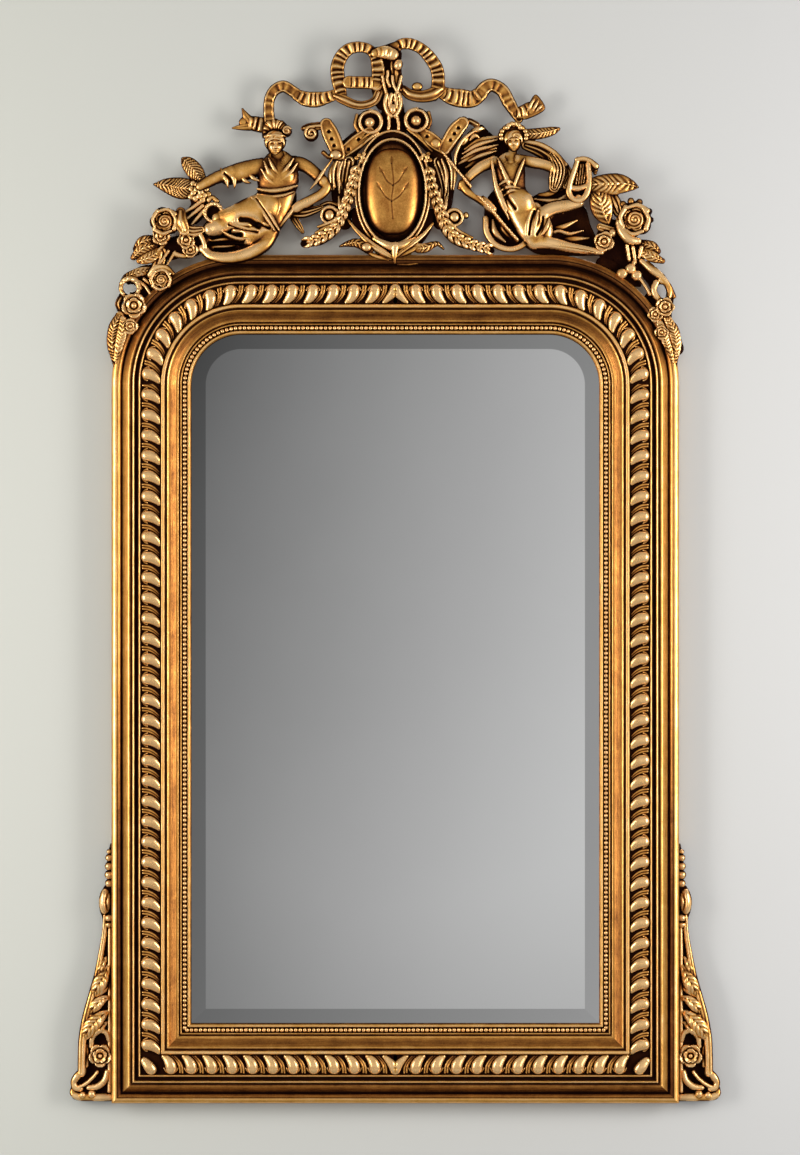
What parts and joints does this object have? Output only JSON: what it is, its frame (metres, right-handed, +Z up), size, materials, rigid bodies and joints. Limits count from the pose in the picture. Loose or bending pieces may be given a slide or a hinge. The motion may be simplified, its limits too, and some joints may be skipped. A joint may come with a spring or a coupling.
{
  "type": "overmantel mirror",
  "caption": "Arched overmantel mirror with bevelled glass in a gilded wood frame of gadroon and bead mouldings, a pierced crest of ribbon, cartouche and figures, and scrolled foot brackets.",
  "frame": {"origin": "on the wall plane, in the middle of the bottom rail's flat back: halfway between its ends and halfway between its lower and upper edge", "axes": "+X to the viewer's right, +Y from the mirror into the wall, +Z up; the glass faces -Y"},
  "size_m": [1.0636, 0.065, 1.7475],
  "materials": {
    "gilt_burnished": "carved wood and gesso, antique burnished gold leaf with dark red-brown patina in the recesses",
    "gilt_toned": "moulded wood and gesso, toned gold leaf rubbed to brown in the coves",
    "ochre_wood": "pine with a matte ochre wash",
    "plywood": "bare plywood, matte",
    "mirror_glass": "silvered glass with a polished bevel",
    "steel": "zinc-plated steel",
    "hanger_brass": "plain brass, slightly dull"
  },
  "bodies": {
    "mirror": {"clip_left": "steel", "clip_screw_left": "steel", "clip_right": "steel", "clip_screw_right": "steel", "clip_bottom": "steel", "clip_screw_bottom": "steel", "clip_top": "steel", "clip_screw_top": "steel", "hanger_strap_left": "hanger_brass", "hanger_screw_left_upper": "steel", "hanger_screw_left_lower": "steel", "hanger_strap_right": "hanger_brass", "hanger_screw_right_upper": "steel", "hanger_screw_right_lower": "steel", "crest_batten": "ochre_wood", "batten_screw_lower": "steel", "batten_screw_upper": "steel", "carcass_left": "ochre_wood", "moulding_left": "gilt_toned", "bead_left": "gilt_burnished", "carcass_right": "ochre_wood", "moulding_right": "gilt_toned", "bead_right": "gilt_burnished", "carcass_bottom": "ochre_wood", "moulding_bottom": "gilt_toned", "bead_bottom": "gilt_burnished", "carcass_top": "ochre_wood", "moulding_top": "gilt_toned", "bead_top": "gilt_burnished", "gadroon_left": "gilt_burnished", "gadroon_right": "gilt_burnished", "gadroon_top": "gilt_burnished", "gadroon_bottom": "gilt_burnished", "mirror_plate": "mirror_glass", "backboard": "plywood", "cartouche": "gilt_burnished", "cartouche_boss": "gilt_burnished", "palmette": "gilt_burnished", "ribbon_bow": "gilt_burnished", "ribbon_tail_left": "gilt_burnished", "ribbon_tail_right": "gilt_burnished", "strap_scroll_left": "gilt_burnished", "strap_scroll_right": "gilt_burnished", "garland_left": "gilt_burnished", "garland_right": "gilt_burnished", "figure_left": "gilt_burnished", "figure_right": "gilt_burnished", "wreath_and_leaves": "gilt_burnished", "lyre": "gilt_burnished", "leaf_spray_right": "gilt_burnished", "rose_spray_left": "gilt_burnished", "shoulder_drop_left": "gilt_burnished", "rose_spray_right": "gilt_burnished", "shoulder_drop_right": "gilt_burnished", "bracket_left": "gilt_burnished", "bracket_right": "gilt_burnished"},
    "ring_left": {"hanger_ring_left": "hanger_brass"},
    "ring_right": {"hanger_ring_right": "hanger_brass"}
  },
  "joints": [
    {"name": "ring_left_hinge", "type": "hinge", "parent": "mirror", "child": "ring_left", "pos_m": [-0.4155, -0.0068, 1.0715], "axis": [-1, 0, 0], "range_deg": [0, 150]},
    {"name": "ring_right_hinge", "type": "hinge", "parent": "mirror", "child": "ring_right", "pos_m": [0.4155, -0.0068, 1.0715], "axis": [-1, 0, 0], "range_deg": [0, 150]}
  ]
}
